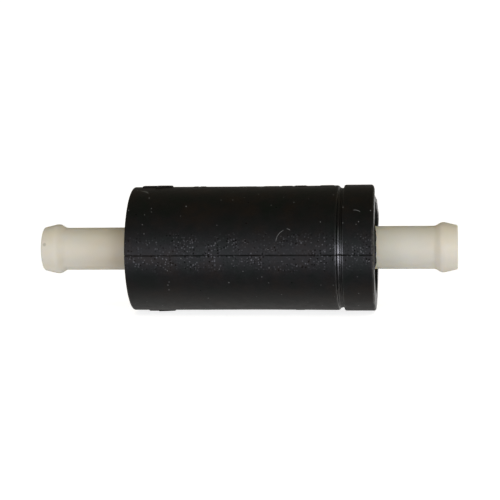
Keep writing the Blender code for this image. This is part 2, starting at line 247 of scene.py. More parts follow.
# the one lamp: where it is, its size, power and colour
FILL_PLACE = (0.05, -0.40, 0.55)
FILL_SIZE = 0.5
FILL_POWER = 0.9
FILL_COLOUR = (1.0, 0.95, 0.86)
# radiance by the angle about X in degrees: 0 is level in front, 90 overhead and -90 straight down
WORLD_BANDS = (
    (-180, (0.40, 0.39, 0.38)),
    (-150, (0.45, 0.44, 0.43)),
    (-116, (0.90, 0.88, 0.85)),
    (-91, (0.86, 0.84, 0.81)),
    (-70, (0.42, 0.42, 0.42)),
    (-50, (0.20, 0.20, 0.21)),
    (-34, (0.30, 0.30, 0.33)),
    (-14, (2.15, 2.15, 2.40)),
    (1, (2.15, 2.15, 2.40)),
    (20, (0.39, 0.41, 0.43)),
    (40, (0.205, 0.205, 0.195)),
    (60, (0.125, 0.12, 0.09)),
    (110, (0.15, 0.135, 0.095)),
    (150, (0.20, 0.185, 0.155)),
    (180, (0.40, 0.39, 0.38)),
)
WORLD_PEAK = 3.0
# the bands' strength by the direction's part along +X: two upright strips in front, brighter at the right
WORLD_ACROSS = (
    (-1.0, 0.90),
    (-0.60, 0.88),
    (-0.50, 3.6),
    (-0.40, 0.76),
    (-0.1, 0.76),
    (0.25, 0.84),
    (0.38, 1.0),
    (0.47, 8.0),
    (0.56, 0.9),
    (0.75, 0.85),
    (1.0, 1.1),
)
ACROSS_PEAK = 8.0
# soft round panels: towards, inner and outer radius in degrees, radiance
WORLD_PANELS = (
    ((0.995, -0.02, -0.10), 6, 16, 4.5),
    ((0.40, 0.91, -0.10), 10, 32, 1.0),
)


# ---------------------------------------------------------------- outlines in the half plane (x, r)
def run(start, end, spacing):
    """Evenly spaced points from start up to, and without, end."""
    length = math.dist(start, end)
    count = max(1, round(length / spacing))
    return [
        (start[0] + (end[0] - start[0]) * k / count, start[1] + (end[1] - start[1]) * k / count)
        for k in range(count)
    ]


def bend(centre, radius, first, last, steps):
    """Points along an arc, from first to last in degrees, without the last one. 0 degrees points to +X."""
    points = []
    for k in range(steps):
        angle = math.radians(first + (last - first) * k / steps)
        points.append((centre[0] + radius * math.cos(angle), centre[1] + radius * math.sin(angle)))
    return points


def round_corners(points, radius, steps=5):
    """The same open path with each inner corner replaced by a short curve of about this radius."""
    path = [np.array(p) for p in points]
    made = [tuple(path[0])]
    for before, corner, after in zip(path, path[1:], path[2:]):
        back = before - corner
        ahead = after - corner
        reach = min(radius, 0.45 * np.linalg.norm(back), 0.45 * np.linalg.norm(ahead))
        start = corner + back / np.linalg.norm(back) * reach
        end = corner + ahead / np.linalg.norm(ahead) * reach
        for k in range(steps + 1):
            t = k / steps
            made.append(tuple((1 - t) ** 2 * start + 2 * t * (1 - t) * corner + t * t * end))
    made.append(tuple(path[-1]))
    return made


def resample(points, spacing):
    """The path with points put in wherever two are further apart than spacing."""
    made = []
    for first, second in zip(points, points[1:]):
        made += run(first, second, spacing)
    return made + [points[-1]]


# ---------------------------------------------------------------- meshes
def angles_with_bands(coarse_deg, fine_deg, bands):
    """Angles round the axis in radians. Inside a band, given as (middle, half width), they are fine."""
    angle = 0.0
    made = []
    while angle < 360 - fine_deg / 2:
        made.append(math.radians(angle))
        near = any(abs((angle - middle + 180) % 360 - 180) <= half for middle, half in bands)
        angle += fine_deg if near else coarse_deg
    return np.array(made)


def turned_grid(path, angles):
    """Positions (rows, columns, 3) of a closed path (x, r) turned about X. Angle 0 is up and 90 is -Y."""
    x = np.array([p[0] for p in path])[:, None]
    r = np.array([p[1] for p in path])[:, None]
    return np.stack(
        [x + 0 * angles[None, :], -r * np.sin(angles)[None, :], r * np.cos(angles)[None, :]], axis=2
    )


def path_normals(path):
    """Unit normals of a closed path (x, r) that runs along the outside to -X, pointing out of the solid."""
    p = np.array(path)
    along = np.roll(p, -1, axis=0) - np.roll(p, 1, axis=0)
    normal = np.stack([along[:, 1], -along[:, 0]], axis=1)
    return normal / np.linalg.norm(normal, axis=1)[:, None]


def grid_object(name, grid, smooth_deg=50):
    """A mesh from a grid that closes both ways."""
    rows, columns = grid.shape[:2]
    index = np.arange(rows * columns).reshape(rows, columns)
    down = np.roll(index, -1, axis=0)
    faces = np.stack([index, down, np.roll(down, -1, axis=1), np.roll(index, -1, axis=1)], axis=2)
    mesh = bpy.data.meshes.new(name)
    mesh.from_pydata(grid.reshape(-1, 3).tolist(), [], faces.reshape(-1, 4).tolist())
    mesh.validate()
    mesh.shade_smooth()
    mesh.set_sharp_from_angle(angle=math.radians(smooth_deg))
    obj = bpy.data.objects.new(name, mesh)
    bpy.context.scene.collection.objects.link(obj)
    return obj


def smooth_step(value, low, high):
    t = np.clip((value - low) / (high - low), 0, 1)
    return t * t * (3 - 2 * t)


def noise_field(points, size, seed):
    """Smooth noise, about -1 to 1, with features of this size, at an array of points."""
    shift = Vector((seed * 17.3, seed * 5.1, seed * 9.7))
    flat = points.reshape(-1, 3) / size
    values = np.array([noise.noise(Vector(p) + shift) for p in flat])
    return values.reshape(points.shape[:-1])


# ---------------------------------------------------------------- the jacket
def jacket_path():
    """The jacket's closed outline, from the lip's inner edge outwards, along the outside and back inside."""
    right_corner = (RIGHT_X - ROUND_RIGHT, COLLAR_R - ROUND_RIGHT)
    left_corner = (LEFT_X + ROUND_LEFT, BODY_R - ROUND_LEFT)
    face = [(RIGHT_X, LIP_R + 0.06 * MM), (RIGHT_X, LIP_R + 0.12 * MM)]
    face += run((RIGHT_X, LIP_R + FLASH_FOOT), (RIGHT_X, right_corner[1]), 0.25 * MM)
    corner = bend(right_corner, ROUND_RIGHT, 0, 90, 7)
    collar_end = (GROOVE[0][0] + 0.2 * MM, COLLAR_R)
    body_start = (GROOVE[-1][0] - 0.2 * MM, BODY_R)
    collar = run((right_corner[0], COLLAR_R), collar_end, 0.17 * MM)
    groove = resample(round_corners([collar_end, *GROOVE, body_start], 0.18 * MM), 0.07 * MM)
    groove_end = groove.pop()
    mark_end = MARK_HEAD[1] + 0.3 * MM
    body = run(groove_end, (mark_end, BODY_R), 0.17 * MM)
    body += run((mark_end, BODY_R), (left_corner[0], BODY_R), 0.09 * MM)
    left = bend(left_corner, ROUND_LEFT, 90, 180, 6)
    end_face = run((LEFT_X, left_corner[1]), (LEFT_X, HOLE_R + 0.25 * MM), 0.5 * MM)
    inside = round_corners(
        [
            (LEFT_X, HOLE_R + 0.25 * MM),
            (LEFT_X, HOLE_R),
            (LEFT_X + END_WALL, HOLE_R),
            (LEFT_X + END_WALL, CAVITY_R),
            (CAVITY_RIGHT, CAVITY_R),
            (CAVITY_RIGHT, LIP_R),
            (RIGHT_X - 0.5 * MM, LIP_R),
        ],
        0.2 * MM,
        3,
    )
    inside = resample(inside, 1.2 * MM)
    inside.pop()
    opening = run((RIGHT_X - 0.5 * MM, LIP_R), (RIGHT_X - 0.05 * MM, LIP_R), 0.15 * MM)
    edge = [(RIGHT_X - 0.05 * MM, LIP_R), (RIGHT_X - 0.01 * MM, LIP_R + 0.02 * MM)]
    return face + corner + collar + groove + body + left + end_face + inside + opening + edge


def plateau(value, low, high, edge):
    """1 between low and high, 0 outside, with an edge this wide centred on each."""
    rise = smooth_step(value, low - edge / 2, low + edge / 2)
    return rise * (1 - smooth_step(value, high - edge / 2, high + edge / 2))


def flow_mark(x, side, start):
    """Height of a flow mark whose bar begins at start. side is measured round the jacket."""
    bar = plateau(x, start, MARK_HEAD[0] + MARK_EDGE, MARK_EDGE)
    bar *= plateau(side, -MARK_BAR_HALF, MARK_BAR_HALF, MARK_EDGE)
    travel = np.clip((x - MARK_HEAD[0]) / (MARK_HEAD[1] - MARK_HEAD[0]), 0, 1)
    half = MARK_HEAD_HALF + (MARK_POINT_HALF - MARK_HEAD_HALF) * travel
    head = plateau(x, *MARK_HEAD, MARK_EDGE)
    head *= 1 - smooth_step(np.abs(side), half - MARK_EDGE / 2, half + MARK_EDGE / 2)
    return np.maximum(MARK_HEIGHT * bar, MARK_HEAD_HEIGHT * head)


def jacket_relief(x, r, angle, places):
    """How far the outside stands out from its plain outline: slow unevenness, seams, marks and low bars."""
    side_top = r * ((angle + math.pi) % (2 * math.pi) - math.pi)
    side_bottom = r * (angle - math.pi)
    side_front = r * (angle - math.pi / 2)
    side_back = r * (angle - 1.5 * math.pi)
    relief = SLOW_UNEVEN[0] * noise_field(places, SLOW_UNEVEN[1], 1)
    relief += QUICK_UNEVEN[0] * noise_field(places, QUICK_UNEVEN[1], 2)
    relief -= WAIST[0] * np.exp(-((x - WAIST[1]) / WAIST[2]) ** 2)
    relief += SWELL[0] * smooth_step(x, SWELL[1], SWELL[2])
    relief += flow_mark(x, side_top, TOP_BAR_START) + flow_mark(x, side_bottom, BOTTOM_BAR_START)
    for bars, side in ((TOP_BARS, side_top), (BOTTOM_BARS, side_bottom)):
        across = plateau(side, -BAR_HALF, BAR_HALF, 0.5 * MM)
        for start, end, height in bars:
            relief += height * MM * plateau(x, start * MM, end * MM, 0.2 * MM) * across
    uneven = 0.85 + 0.4 * noise_field(places, 1.2 * MM, 3) + 0.3 * noise_field(places, 0.4 * MM, 4)
    wander = SEAM_WANDER * noise_field(np.stack([x, 0 * x, 0 * x], axis=2), 5 * MM, 5)
    for side in (side_front, side_back):
        cut = np.clip(1 - np.abs(side + wander) / SEAM_HALF, 0, 1)
        relief -= SEAM_DEPTH * cut * np.clip(uneven, 0.15, 1.4)
    return relief


def lip_flash(x, r, angles):
    """How far the lip's ragged moulding flash reaches to +X."""
    at_lip = smooth_step(x, RIGHT_X - 0.4 * MM, RIGHT_X - 0.05 * MM) * (r < LIP_R + FLASH_FOOT - 0.01 * MM)
    edge = turned_grid([(RIGHT_X, LIP_R)] * len(x), angles)
    uneven = noise_field(edge, 0.9 * MM, 6) + 0.5 * noise_field(edge, 0.4 * MM, 7)
    turned = np.degrees(angles)[None, :] + 0 * x
    in_front = smooth_step(turned, *FLASH_ANGLES[:2]) * (1 - smooth_step(turned, *FLASH_ANGLES[2:]))
    flash = FLASH_MEAN + FLASH_REACH * in_front + FLASH_UNEVEN * uneven
    return at_lip * np.clip(flash, 0, None)


def right_end_lean(grid, x):
    """How far the right end leans to the left: most at the top behind, least at the shoulder under it."""
    up = grid[:, :, 2]
    upper = smooth_step(up, 5.5 * MM, 10.5 * MM)
    top = smooth_step(up, 7.9 * MM, 9.4 * MM)
    shoulder = smooth_step(up, 2.0 * MM, 4.5 * MM) * (1 - smooth_step(up, 5.0 * MM, 7.5 * MM))
    behind = smooth_step(grid[:, :, 1], -4 * MM, 3 * MM)
    lean = LEAN_UPPER * upper + (LEAN_BEHIND + LEAN_TOP_BEHIND * top + LEAN_SHOULDER * shoulder) * behind
    return lean * smooth_step(x, RIGHT_X - LEAN_REACH, RIGHT_X)


def make_jacket():
    path = jacket_path()
    angles = angles_with_bands(2.0, 0.4, [(90, 3), (0, 10), (180, 10), (270, 3)])
    grid = turned_grid(path, angles)
    outline = np.array(path)
    x = outline[:, 0][:, None] + 0 * angles[None, :]
    r = outline[:, 1][:, None] + 0 * angles[None, :]
    outside = r[:, :1] > GROOVE_FLOOR_R - 0.05 * MM
    relief = jacket_relief(x, r, angles[None, :] + 0 * x, grid) * outside
    grid += turned_grid(path_normals(path), angles) * relief[:, :, None]
    grid[:, :, 0] += lip_flash(x, r, angles)
    skew = np.where(grid[:, :, 2] > 0, SKEW_ABOVE, SKEW_BELOW) * (r > HOLE_R)
    grid[:, :, 0] += skew * (1 - smooth_step(x, LEFT_X, LEFT_X + SKEW_REACH)) * grid[:, :, 2]
    grid[:, :, 0] -= right_end_lean(grid, x)
    return grid_object("jacket_detail", grid)


# ---------------------------------------------------------------- the caps with their nipples
def cap_path(with_boss):
    """A cap's closed outline with its nipple towards +X, from the bore's edge outwards and back."""
    tip_corner = (TIP_X - TIP_ROUND, TIP_R - TIP_ROUND)
    tip_face = run((TIP_X, BORE_R + 0.2 * MM), (TIP_X, tip_corner[1]), 0.2 * MM)
    tip = bend(tip_corner, TIP_ROUND, 0, 90, 8)
    crest_x = TIP_X - CREST_BACK
    flank_x = crest_x - CREST_BEHIND
    foot_x = TIP_X - FOOT_BACK
    taper = [(TIP_X - TIP_ROUND, TIP_R), (crest_x + CREST_AHEAD, CREST_R), (flank_x, CREST_R)]
    taper = resample(round_corners(taper, CREST_ROUND), 0.15 * MM)
    taper.pop()
    flank = []
    for k in range(FLANK_STEPS):
        travel = k / FLANK_STEPS
        fall = travel * travel * (3 - 2 * travel)
        flank.append((flank_x + (foot_x - flank_x) * travel, CREST_R + (PIPE_R - CREST_R) * fall))
    pipe = run((foot_x, PIPE_R), (CAPSULE_END + FILLET, PIPE_R), 0.4 * MM)
    fillet = bend((CAPSULE_END + FILLET, PIPE_R + FILLET), FILLET, 270, 180, 6)
    points = [
        (CAPSULE_END, PIPE_R + FILLET),
        (CAPSULE_END, CAPSULE_R),
        (FLANGE_END, CAPSULE_R),
        (FLANGE_END, SPIGOT_R),
        (SPIGOT_END, SPIGOT_R),
        (SPIGOT_END, SPIGOT_BORE),
        (INNER_FACE, SPIGOT_BORE),
    ]
    if with_boss:
        points += [(INNER_FACE, BOSS_R), (BOSS_END, BOSS_R), (BOSS_END, BOSS_BORE), (INNER_FACE, BOSS_BORE)]
        points += [(INNER_FACE + BORE_R - BOSS_BORE, BORE_R)]
    else:
        points += [(INNER_FACE, BORE_R)]
    points += [(TIP_X, BORE_R), (TIP_X, BORE_R + 0.2 * MM)]
    rest = resample(round_corners(points, 0.15 * MM, 3), 1.0 * MM)
    rest.pop()
    return tip_face + tip + taper + flank + pipe + fillet + rest


def make_cap(name, with_boss, flip):
    grid = turned_grid(cap_path(with_boss), np.radians(np.arange(0, 360, 2.5)))
    if flip:
        grid[:, :, :2] *= -1
    return grid_object(name, grid)


# ---------------------------------------------------------------- materials
def new_material(name):
    material = bpy.data.materials.new(name)
    material.use_nodes = True
    nodes = material.node_tree.nodes
    return material, nodes, material.node_tree.links, nodes["Principled BSDF"]


def add_node(nodes, kind, **values):
    node = nodes.new(kind)
    for key, value in values.items():
        if hasattr(node, key):
            setattr(node, key, value)
        else:
            node.inputs[key.replace("_", " ")].default_value = value
    return node


def noise_node(nodes, links, coordinates, feature, detail=3.0, rough=0.55):
    """Noise whose features are about this size in metres."""
    node = add_node(nodes, "ShaderNodeTexNoise", Scale=1.0 / feature, Detail=detail, Roughness=rough)
    links.new(coordinates, node.inputs["Vector"])
    return node.outputs["Fac"]


def ramp_node(nodes, links, value, stops, smooth=False):
    node = nodes.new("ShaderNodeValToRGB")
    ramp = node.color_ramp
    ramp.interpolation = "EASE" if smooth else "LINEAR"
    while len(ramp.elements) < len(stops):
        ramp.elements.new(0.5)
    for element, (place, colour) in zip(ramp.elements, stops):
        element.position = place
        element.color = (*colour, 1.0)
    links.new(value, node.inputs["Fac"])
    return node.outputs["Color"]


def grey(value):
    return (value, value, value)


def bump_node(nodes, links, height, distance, strength=1.0, under=None):
    node = add_node(nodes, "ShaderNodeBump", Strength=strength, Distance=distance)
    links.new(height, node.inputs["Height"])
    if under:
        links.new(under, node.inputs["Normal"])
    return node.outputs["Normal"]


def math_node(nodes, links, operation, first, second, clamp=False):
    """A Math node. first and second are sockets or numbers."""
    node = add_node(nodes, "ShaderNodeMath", operation=operation, use_clamp=clamp)
    for socket, value in zip(node.inputs, (first, second)):
        if isinstance(value, (int, float)):
            socket.default_value = value
        else:
            links.new(value, socket)
    return node.outputs[0]


def spread_node(nodes, links, value, low, high, to_low=0.0, to_high=1.0):
    """A smooth step of the value from low to high."""
    node = nodes.new("ShaderNodeMapRange")
    node.interpolation_type = "SMOOTHSTEP"
    node.inputs["From Min"].default_value = low
    node.inputs["From Max"].default_value = high
    node.inputs["To Min"].default_value = to_low
    node.inputs["To Max"].default_value = to_high
    links.new(value, node.inputs["Value"])
    return node.outputs["Result"]


def speck_node(nodes, links, skin, spacing, radius, share):
    """Round specks of uneven strength, 0 to 1, about this far apart. This share of the places holds one."""
    cell = add_node(nodes, "ShaderNodeTexVoronoi", voronoi_dimensions="2D", Scale=1.0 / spacing)
    links.new(skin, cell.inputs["Vector"])
    dot = spread_node(nodes, links, cell.outputs["Distance"], radius / spacing, 0.3 * radius / spacing)
    chance = nodes.new("ShaderNodeSeparateColor")
    links.new(cell.outputs["Color"], chance.inputs["Color"])
    chosen = math_node(nodes, links, "LESS_THAN", chance.outputs["Red"], share)
    uneven = spread_node(nodes, links, chance.outputs["Green"], 0.0, 1.0, 0.35, 1.0)
    return product(nodes, links, dot, chosen, uneven)


def product(nodes, links, first, *others):
    """Several masks or numbers multiplied together."""
    for other in others:
        first = math_node(nodes, links, "MULTIPLY", first, other)
    return first


def strongest(nodes, links, values):
    """The largest of several masks."""
    total = values[0]
    for value in values[1:]:
        total = math_node(nodes, links, "MAXIMUM", total, value)
    return total


def spot_node(nodes, links, skin, centre, radius):
    """One round spot on the unrolled skin, 0 to 1."""
    away = add_node(nodes, "ShaderNodeVectorMath", operation="DISTANCE")
    links.new(skin, away.inputs[0])
    away.inputs[1].default_value = (centre[0] * MM, centre[1] * MM, 0)
    return spread_node(nodes, links, away.outputs["Value"], radius * MM, 0.4 * radius * MM)


def stroke_node(nodes, links, skin, start, end, bow, half_width):
    """A thin bowed scuff on the unrolled skin, 0 to 1, that fades at its ends."""
    chord = Vector((end[0] - start[0], end[1] - start[1], 0))
    from_start = add_node(nodes, "ShaderNodeVectorMath", operation="SUBTRACT")
    links.new(skin, from_start.inputs[0])
    from_start.inputs[1].default_value = (start[0] * MM, start[1] * MM, 0)
    parts = []
    for direction in (chord / chord.length, Vector((-chord.y, chord.x, 0)) / chord.length):
        dot = add_node(nodes, "ShaderNodeVectorMath", operation="DOT_PRODUCT")
        links.new(from_start.outputs["Vector"], dot.inputs[0])
        dot.inputs[1].default_value = direction
        parts.append(dot.outputs["Value"])
    travel = math_node(nodes, links, "DIVIDE", parts[0], chord.length * MM)
    left = math_node(nodes, links, "SUBTRACT", 1.0, travel)
    hump = math_node(nodes, links, "MULTIPLY", travel, left)
    shift = math_node(nodes, links, "MULTIPLY", hump, 4 * bow * MM)
    off = math_node(nodes, links, "ABSOLUTE", math_node(nodes, links, "SUBTRACT", parts[1], shift), 0.0)
    line = spread_node(nodes, links, off, half_width * MM, 0.3 * half_width * MM)
    ends = spread_node(nodes, links, hump, 0.0, 0.12)
    return math_node(nodes, links, "MULTIPLY", line, ends)


def unroll(nodes, links, place):
    """The jacket's skin laid flat: a vector of the way along the axis and the way round it upwards from the
    seam in front, then each of these alone, and the radius."""
    split = nodes.new("ShaderNodeSeparateXYZ")
    links.new(place, split.inputs[0])
    front = math_node(nodes, links, "MULTIPLY", split.outputs["Y"], -1.0)
    turn = math_node(nodes, links, "ARCTAN2", split.outputs["Z"], front)
    side = math_node(nodes, links, "MULTIPLY", turn, BODY_R)
    flat = nodes.new("ShaderNodeCombineXYZ")
    links.new(split.outputs["X"], flat.inputs["X"])
    links.new(side, flat.inputs["Y"])
    square = [math_node(nodes, links, "MULTIPLY", split.outputs[c], split.outputs[c]) for c in "YZ"]
    radius = math_node(nodes, links, "SQRT", math_node(nodes, links, "ADD", square[0], square[1]), 0.0)
    return flat.outputs["Vector"], split.outputs["X"], side, radius


def mix_colour(nodes, links, share, first, second):
    """A blend of two colours. share is a socket; first may be a socket or a colour."""
    mix = nodes.new("ShaderNodeMix")
    mix.data_type = "RGBA"
    links.new(share, mix.inputs["Factor"])
    if isinstance(first, tuple):
        mix.inputs["A"].default_value = (*first, 1)
    else:
        links.new(first, mix.inputs["A"])
    mix.inputs["B"].default_value = (*second, 1)
    return mix.outputs["Result"]


def rubber_material():
    """Black rubber: near its seam pale specks, partly dust and partly painted glints, and pits darkened by
    painted shade; a painted highlight on the lip's front, painted shade on its flash; polished in the groove,
    scuffed.
    """
    material, nodes, links, shader = new_material("moulded_black_rubber")
    place = nodes.new("ShaderNodeTexCoord").outputs["Object"]
    skin, along, side, radius = unroll(nodes, links, place)
    from_seam = math_node(nodes, links, "SUBTRACT", side, DUST_AND_GLINT_MIDDLE)
    from_seam = math_node(nodes, links, "ABSOLUTE", from_seam, 0.0)

    # the ends, where the unrolled skin would draw specks out into streaks, have none
    outer = spread_node(nodes, links, radius, GROOVE_FLOOR_R - 0.4 * MM, GROOVE_FLOOR_R - 0.1 * MM)
    past_end = spread_node(nodes, links, along, LEFT_X + 0.12 * MM, LEFT_X + 0.30 * MM)
    on_skin = product(nodes, links, outer, past_end)
    near_seam = spread_node(nodes, links, from_seam, 4.4 * MM, 1.3 * MM)
    patches = spread_node(nodes, links, noise_node(nodes, links, place, 2.6 * MM, 3), 0.40, 0.60, 0.12)
    dust_and_glint_band = product(nodes, links, near_seam, patches, on_skin)

    blotches = noise_node(nodes, links, place, 5 * MM, 6, 0.65)
    colour = ramp_node(nodes, links, blotches, RUBBER_BLOTCHES)
    # pale specks near the seam: partly dust, partly painted glints of the light in the reflection band
    dust_and_glint_specks = strongest(nodes, links, [speck_node(nodes, links, skin, *specks) for specks in DUST_AND_GLINT_SPECKS])
    colour = mix_colour(nodes, links, product(nodes, links, dust_and_glint_specks, dust_and_glint_band), colour, DUST_AND_GLINT_COLOUR)
    # painted highlight: the lip's front rounding is lighter grey, standing in for the light it reflects
    at_lip = spread_node(nodes, links, along, RIGHT_X - 0.45 * MM, RIGHT_X - 0.15 * MM)
    in_front = spread_node(nodes, links, from_seam, 5.2 * MM, 3.6 * MM)
    painted_lip_highlight = spread_node(nodes, links, noise_node(nodes, links, place, 0.5 * MM, 3), 0.30, 0.65, 0.25, 1.0)
    painted_lip_highlight = product(nodes, links, at_lip, in_front, painted_lip_highlight)
    colour = mix_colour(nodes, links, painted_lip_highlight, colour, LIP_HIGHLIGHT_COLOUR)
    worn = [speck_node(nodes, links, skin, *LONE_SPECKS)]
    worn += [stroke_node(nodes, links, skin, *scuff) for scuff in SCUFFS]
    worn += [spot_node(nodes, links, skin, *speck) for speck in SPECKS]
    worn = product(nodes, links, strongest(nodes, links, worn), on_skin)
    links.new(mix_colour(nodes, links, worn, colour, WORN_COLOUR), shader.inputs["Base Color"])

    # painted shade: pits and the flash get a black specular tint, so they reflect nothing and render dark
    pits = speck_node(nodes, links, skin, *PIT_SPECKS)
    pits = product(nodes, links, pits, spread_node(nodes, links, dust_and_glint_band, 0.04, 0.30))
    on_flash = spread_node(nodes, links, along, RIGHT_X + 0.09 * MM, RIGHT_X + 0.18 * MM)
    pits_and_flash_painted_shade = [pits, on_flash] + [spot_node(nodes, links, skin, *pit) for pit in PITS]
    pits_and_flash_painted_shade = strongest(nodes, links, pits_and_flash_painted_shade)
    links.new(mix_colour(nodes, links, pits_and_flash_painted_shade, grey(1.0), grey(0.0)), shader.inputs["Specular Tint"])

    past_left = spread_node(nodes, links, along, GROOVE[-1][0] + 0.10 * MM, GROOVE[-1][0] + 0.25 * MM)
    before_right = spread_node(nodes, links, along, GROOVE[0][0] + 0.05 * MM, GROOVE[0][0] - 0.10 * MM)
    polished = spread_node(nodes, links, from_seam, 5.6 * MM, 3.4 * MM)
    polished = product(nodes, links, past_left, before_right, polished)
    satin = noise_node(nodes, links, place, 1.5 * MM, 5)
    rough = spread_node(nodes, links, satin, 0.3, 0.7, *RUBBER_ROUGHNESS)
    rougher = product(nodes, links, pits_and_flash_painted_shade, DULL_ROUGHER)
    rough = math_node(nodes, links, "ADD", rough, rougher, True)
    smoother = product(nodes, links, polished, POLISHED_SMOOTHER)
    links.new(math_node(nodes, links, "SUBTRACT", rough, smoother), shader.inputs["Roughness"])
    links.new(polished, shader.inputs["Coat Weight"])
    shader.inputs["Coat Roughness"].default_value = COAT_ROUGHNESS
    shader.inputs["Specular IOR Level"].default_value = RUBBER_SPECULAR
    grain = noise_node(nodes, links, place, 0.32 * MM, 3, 0.6)
    fine = bump_node(nodes, links, grain, GRAIN_DEPTH)
    links.new(bump_node(nodes, links, pits, PIT_DEPTH, under=fine), shader.inputs["Normal"])
    return material


def nylon_material():
    """Natural nylon, with painted shade darkening the inlet nipple towards the jacket, painted light
    brightening the outlet one towards the jacket, and a stain.
    """
    material, nodes, links, shader = new_material("natural_nylon")
    place = nodes.new("ShaderNodeTexCoord").outputs["Object"]
    cloud = noise_node(nodes, links, place, 9 * MM, 3)
    colour = ramp_node(nodes, links, cloud, NYLON_CLOUDS)
    split = nodes.new("ShaderNodeSeparateXYZ")
    links.new(place, split.inputs[0])
    along = split.outputs["X"]
    inlet_half = math_node(nodes, links, "LESS_THAN", along, 0.0)
    outlet_half = math_node(nodes, links, "SUBTRACT", 1.0, inlet_half)
    # painted shade: the inlet nipple's colour darkens towards the jacket, where the jacket shades it
    painted_shade_near_jacket = product(nodes, links, spread_node(nodes, links, along, *PAINTED_SHADE_ALONG), inlet_half)
    colour = mix_colour(nodes, links, painted_shade_near_jacket, colour, PAINTED_SHADE_NYLON)
    # painted light: the outlet nipple's colour brightens towards the jacket, to offset the shade of the
    # recess
    painted_light_near_recess = product(nodes, links, spread_node(nodes, links, along, *PAINTED_LIGHT_ALONG), outlet_half)
    colour = mix_colour(nodes, links, painted_light_near_recess, colour, PAINTED_LIGHT_NYLON)
    away = add_node(nodes, "ShaderNodeVectorMath", operation="DISTANCE")
    links.new(place, away.inputs[0])
    away.inputs[1].default_value = STAIN
    stain = spread_node(nodes, links, away.outputs["Value"], 0.45 * MM, 0.2 * MM, 0.0, 0.6)
    links.new(mix_colour(nodes, links, stain, colour, STAIN_COLOUR), shader.inputs["Base Color"])
    satin = noise_node(nodes, links, place, 1.0 * MM, 3)
    rough = ramp_node(nodes, links, satin, [(0.3, grey(0.38)), (0.7, grey(0.46))])
    links.new(rough, shader.inputs["Roughness"])
    shader.inputs["Subsurface Weight"].default_value = 0.85
    shader.inputs["Subsurface Radius"].default_value = (1.0, 0.85, 0.62)
    shader.inputs["Subsurface Scale"].default_value = 3.0 * MM
    grain = noise_node(nodes, links, place, 0.35 * MM, 3)
    links.new(bump_node(nodes, links, grain, 0.006 * MM), shader.inputs["Normal"])
    return material


def plain_material(name, colours, rough, feature, bump, metallic=0.0, stretch=(1, 1, 1)):
    """A material with two colours and a grain of this feature size, drawn out along an axis by stretch."""
    material, nodes, links, shader = new_material(name)
    mapping = nodes.new("ShaderNodeMapping")
    mapping.inputs["Scale"].default_value = stretch
    links.new(nodes.new("ShaderNodeTexCoord").outputs["Object"], mapping.inputs["Vector"])
    place = mapping.outputs["Vector"]
    clouds = noise_node(nodes, links, place, 6 * feature)
    colour = ramp_node(nodes, links, clouds, [(0.3, colours[0]), (0.7, colours[1])])
    links.new(colour, shader.inputs["Base Color"])
    grain = noise_node(nodes, links, place, feature, 4)
    links.new(spread_node(nodes, links, grain, 0.3, 0.7, *rough), shader.inputs["Roughness"])
    links.new(bump_node(nodes, links, grain, bump), shader.inputs["Normal"])
    shader.inputs["Metallic"].default_value = metallic
    return material


def give_material(obj, material):
    obj.data.materials.clear()
    obj.data.materials.append(material)


# ---------------------------------------------------------------- stage
def make_floor():
    bpy.ops.mesh.primitive_plane_add(size=FLOOR_SIZE, location=(0, 0, FLOOR_Z))
    floor = bpy.context.object
    floor.name = "floor"
    material, *_, shader = new_material("pale_floor")
    shader.inputs["Base Color"].default_value = (0.9, 0.9, 0.9, 1)
    shader.inputs["Roughness"].default_value = 0.9
    shader.inputs["Emission Color"].default_value = (1, 1, 1, 1)
    shader.inputs["Emission Strength"].default_value = FLOOR_GLOW
    give_material(floor, material)
    floor.visible_glossy = False
    floor.visible_diffuse = False


def panel(nodes, links, direction, aim, inner_deg, outer_deg, radiance):
    """Light from a soft round panel towards aim: full inside inner_deg, none outside outer_deg."""
    dot = add_node(nodes, "ShaderNodeVectorMath", operation="DOT_PRODUCT")
    links.new(direction, dot.inputs[0])
    dot.inputs[1].default_value = Vector(aim).normalized()
    outside, inside = (math.cos(math.radians(degrees)) for degrees in (outer_deg, inner_deg))
    soft = spread_node(nodes, links, dot.outputs["Value"], outside, inside)
    return math_node(nodes, links, "MULTIPLY", soft, radiance)


def spread_across(nodes, links, sideways):
    """The bands' strength by the direction's part along +X."""
    place = math_node(nodes, links, "ADD", math_node(nodes, links, "MULTIPLY", sideways, 0.5), 0.5)
    stops = [((part + 1) / 2, grey(strength / ACROSS_PEAK)) for part, strength in WORLD_ACROSS]
    value = ramp_node(nodes, links, place, stops, True)
    return math_node(nodes, links, "MULTIPLY", value, ACROSS_PEAK * WORLD_PEAK)


